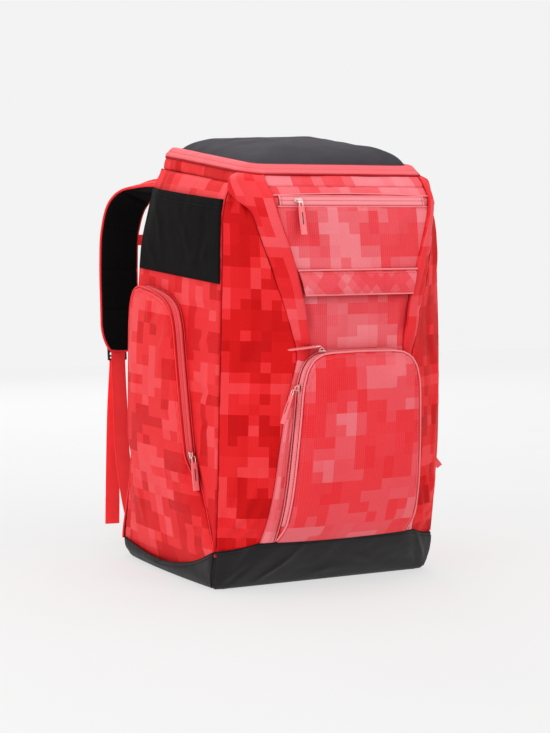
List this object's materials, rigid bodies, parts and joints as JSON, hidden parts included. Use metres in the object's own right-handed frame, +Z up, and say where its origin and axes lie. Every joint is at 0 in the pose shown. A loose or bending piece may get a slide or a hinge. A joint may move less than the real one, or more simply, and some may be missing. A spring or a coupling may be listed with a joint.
{
  "type": "ski boot bag",
  "caption": "Tall backpack for ski boots and helmet, with a zipped lid, drop-down side doors to the boot compartments, a front pocket, padded straps and a wipe-clean base.",
  "frame": {"origin": "on the floor under the middle of the base", "axes": "+Z up, front pocket faces -Y, back panel and straps face +Y, +X to the right seen from the front"},
  "size_m": [0.4297, 0.6058, 0.6577],
  "materials": {
    "coated_base": "coated, slight sheen",
    "camo_fabric": "woven ripstop, printed blocks",
    "zip_tape": "laminated tape, satin",
    "zip_metal": "coloured die-cast, satin",
    "pull_tape": "folded tape, matte",
    "black_fabric": "coarse weave, matte",
    "stretch_fabric": "knit, matte",
    "back_mesh": "air mesh, matte",
    "strap_fabric": "padded, red outside and black inside",
    "webbing": "woven webbing",
    "buckle_plastic": "moulded acetal, satin",
    "stiff_sheet": "extruded sheet",
    "lining": "plain lining"
  },
  "bodies": {
    "bag_body": {"base_floor": "coated_base", "base_board": "stiff_sheet", "base_skirt": "coated_base", "front_panel": "camo_fabric", "front_rib_left": "camo_fabric", "front_rib_right": "camo_fabric", "front_gusset_left": "camo_fabric", "front_gusset_right": "camo_fabric", "side_panel_left": "camo_fabric", "side_panel_right": "camo_fabric", "side_upper_left": "camo_fabric", "side_upper_right": "camo_fabric", "boot_gusset_left": "camo_fabric", "boot_gusset_right": "camo_fabric", "boot_zip_left": "zip_tape", "boot_zip_right": "zip_tape", "stretch_pocket_left": "stretch_fabric", "stretch_pocket_right": "stretch_fabric", "front_gusset_wall": "camo_fabric", "front_zip": "zip_tape", "upper_pocket": "camo_fabric", "upper_zip": "zip_tape", "rim_band": "camo_fabric", "lid_zip": "zip_tape", "back_panel": "back_mesh", "frame_sheet": "stiff_sheet", "back_pad_lumbar": "back_mesh", "back_pad_upper": "back_mesh", "boot_divider_left": "lining", "boot_divider_right": "lining"},
    "lid": {"lid_panel": "black_fabric"},
    "lid_slider": {"lid_slider": "zip_metal"},
    "lid_pull": {"lid_pull": "pull_tape"},
    "upper_slider": {"upper_slider": "zip_metal"},
    "upper_pull": {"upper_pull": "pull_tape"},
    "front_flap": {"front_flap": "camo_fabric"},
    "front_door": {"front_door": "camo_fabric"},
    "front_a_slider": {"front_a_slider": "zip_metal"},
    "front_a_pull": {"front_a_pull": "pull_tape"},
    "front_b_slider": {"front_b_slider": "zip_metal"},
    "front_b_pull": {"front_b_pull": "pull_tape"},
    "boot_door_left": {"boot_door_left": "camo_fabric"},
    "boot_slider_left": {"boot_left_slider": "zip_metal"},
    "boot_pull_left": {"boot_left_pull": "pull_tape"},
    "strap_left": {"shoulder_pad_left": "strap_fabric", "ladder_lock_left": "buckle_plastic", "lower_webbing_left": "webbing"},
    "tail_left": {"webbing_tail_left": "webbing"},
    "boot_door_right": {"boot_door_right": "camo_fabric"},
    "boot_slider_right": {"boot_right_slider": "zip_metal"},
    "boot_pull_right": {"boot_right_pull": "pull_tape"},
    "strap_right": {"shoulder_pad_right": "strap_fabric", "ladder_lock_right": "buckle_plastic", "lower_webbing_right": "webbing"},
    "tail_right": {"webbing_tail_right": "webbing"},
    "sternum_left": {"sternum_web_left": "webbing", "sternum_buckle_male": "buckle_plastic"},
    "sternum_right": {"sternum_web_right": "webbing", "sternum_buckle_female": "buckle_plastic"},
    "haul_handle": {"haul_handle": "black_fabric"}
  },
  "joints": [
    {"name": "lid_hinge", "type": "hinge", "parent": "bag_body", "child": "lid", "pos_m": [0, 0.091, 0.6436], "axis": [-1, 0, 0], "range_deg": [0, 105]},
    {"name": "lid_slider_travel", "type": "slide", "parent": "bag_body", "child": "lid_slider", "axis": [0.0119, -0.9934, -0.1142], "range_m": [-0.06, 0.15]},
    {"name": "lid_pull_swing", "type": "hinge", "parent": "lid_slider", "child": "lid_pull", "pos_m": [0.14144, 0.01353, 0.64119], "axis": [0.0119, -0.9934, -0.1142], "range_deg": [0, 140]},
    {"name": "upper_slider_travel", "type": "slide", "parent": "bag_body", "child": "upper_slider", "axis": [1, 0, 0], "range_m": [0, 0.18]},
    {"name": "upper_pull_swing", "type": "hinge", "parent": "upper_slider", "child": "upper_pull", "pos_m": [-0.09, -0.24938, 0.56381], "axis": [-1, 0, 0], "range_deg": [0, 130]},
    {"name": "front_flap_lift", "type": "hinge", "parent": "bag_body", "child": "front_flap", "pos_m": [0, -0.2592, 0.468], "axis": [-1, 0, 0], "range_deg": [0, 100]},
    {"name": "front_door_drop", "type": "hinge", "parent": "bag_body", "child": "front_door", "pos_m": [0, -0.2365, 0.092], "axis": [1, 0, 0], "range_deg": [0, 75]},
    {"name": "front_a_travel", "type": "slide", "parent": "bag_body", "child": "front_a_slider", "axis": [1, 0, 0], "range_m": [0, 0.104]},
    {"name": "front_a_pull_swing", "type": "hinge", "parent": "front_a_slider", "child": "front_a_pull", "pos_m": [-0.064, -0.261, 0.3583], "axis": [0, 1, 0], "range_deg": [0, 160]},
    {"name": "front_b_travel", "type": "slide", "parent": "bag_body", "child": "front_b_slider", "axis": [-0.0522, 0.1147, -0.992], "range_m": [0, 0.15]},
    {"name": "front_b_pull_swing", "type": "hinge", "parent": "front_b_slider", "child": "front_b_pull", "pos_m": [-0.1067, -0.25925, 0.298], "axis": [0, 1, 0], "range_deg": [0, 140]},
    {"name": "boot_door_left_drop", "type": "hinge", "parent": "bag_body", "child": "boot_door_left", "pos_m": [-0.2039, 0, 0.178], "axis": [0, -1, 0], "range_deg": [0, 100]},
    {"name": "boot_slider_left_travel", "type": "slide", "parent": "bag_body", "child": "boot_slider_left", "axis": [0.01, 0.2277, 0.9737], "range_m": [0, 0.13]},
    {"name": "boot_pull_left_swing", "type": "hinge", "parent": "boot_slider_left", "child": "boot_pull_left", "pos_m": [-0.19393, -0.11425, 0.19201], "axis": [-1, 0, 0], "range_deg": [0, 130]},
    {"name": "boot_door_right_drop", "type": "hinge", "parent": "bag_body", "child": "boot_door_right", "pos_m": [0.2039, 0, 0.178], "axis": [0, 1, 0], "range_deg": [0, 100]},
    {"name": "boot_slider_right_travel", "type": "slide", "parent": "bag_body", "child": "boot_slider_right", "axis": [-0.01, 0.2277, 0.9737], "range_m": [0, 0.13]},
    {"name": "boot_pull_right_swing", "type": "hinge", "parent": "boot_slider_right", "child": "boot_pull_right", "pos_m": [0.19393, -0.11425, 0.19201], "axis": [-0.624, 0.4457, -0.6418], "range_deg": [0, 30]},
    {"name": "strap_left_swing", "type": "hinge", "parent": "bag_body", "child": "strap_left", "pos_m": [-0.06, 0.104, 0.572], "axis": [0.1914, -0.1487, 0.9702], "range_deg": [-10, 10]},
    {"name": "strap_right_swing", "type": "hinge", "parent": "bag_body", "child": "strap_right", "pos_m": [0.06, 0.104, 0.572], "axis": [-0.1914, -0.1487, 0.9702], "range_deg": [-10, 10]},
    {"name": "sternum_yaw", "type": "hinge", "parent": "strap_left", "child": "sternum_left", "pos_m": [-0.133, 0.322, 0.5], "axis": [0, 0, 1], "range_deg": [-6, 6]},
    {"name": "sternum_release", "type": "slide", "parent": "sternum_left", "child": "sternum_right", "axis": [1, 0, 0], "range_m": [0, 0.03]},
    {"name": "tail_left_swing", "type": "hinge", "parent": "strap_left", "child": "tail_left", "pos_m": [-0.137, 0.313, 0.296], "axis": [1, 0, 0], "range_deg": [-10, 45]},
    {"name": "tail_right_swing", "type": "hinge", "parent": "strap_right", "child": "tail_right", "pos_m": [0.137, 0.313, 0.296], "axis": [1, 0, 0], "range_deg": [-10, 45]},
    {"name": "haul_handle_fold", "type": "hinge", "parent": "bag_body", "child": "haul_handle", "pos_m": [0, 0.11, 0.578], "axis": [-1, 0, 0], "range_deg": [0, 80]}
  ],
  "couplings": [
    {"joint": "strap_right_swing", "follows": "strap_left_swing", "ratio": 1},
    {"joint": "sternum_yaw", "follows": "strap_left_swing", "ratio": -0.55}
  ]
}
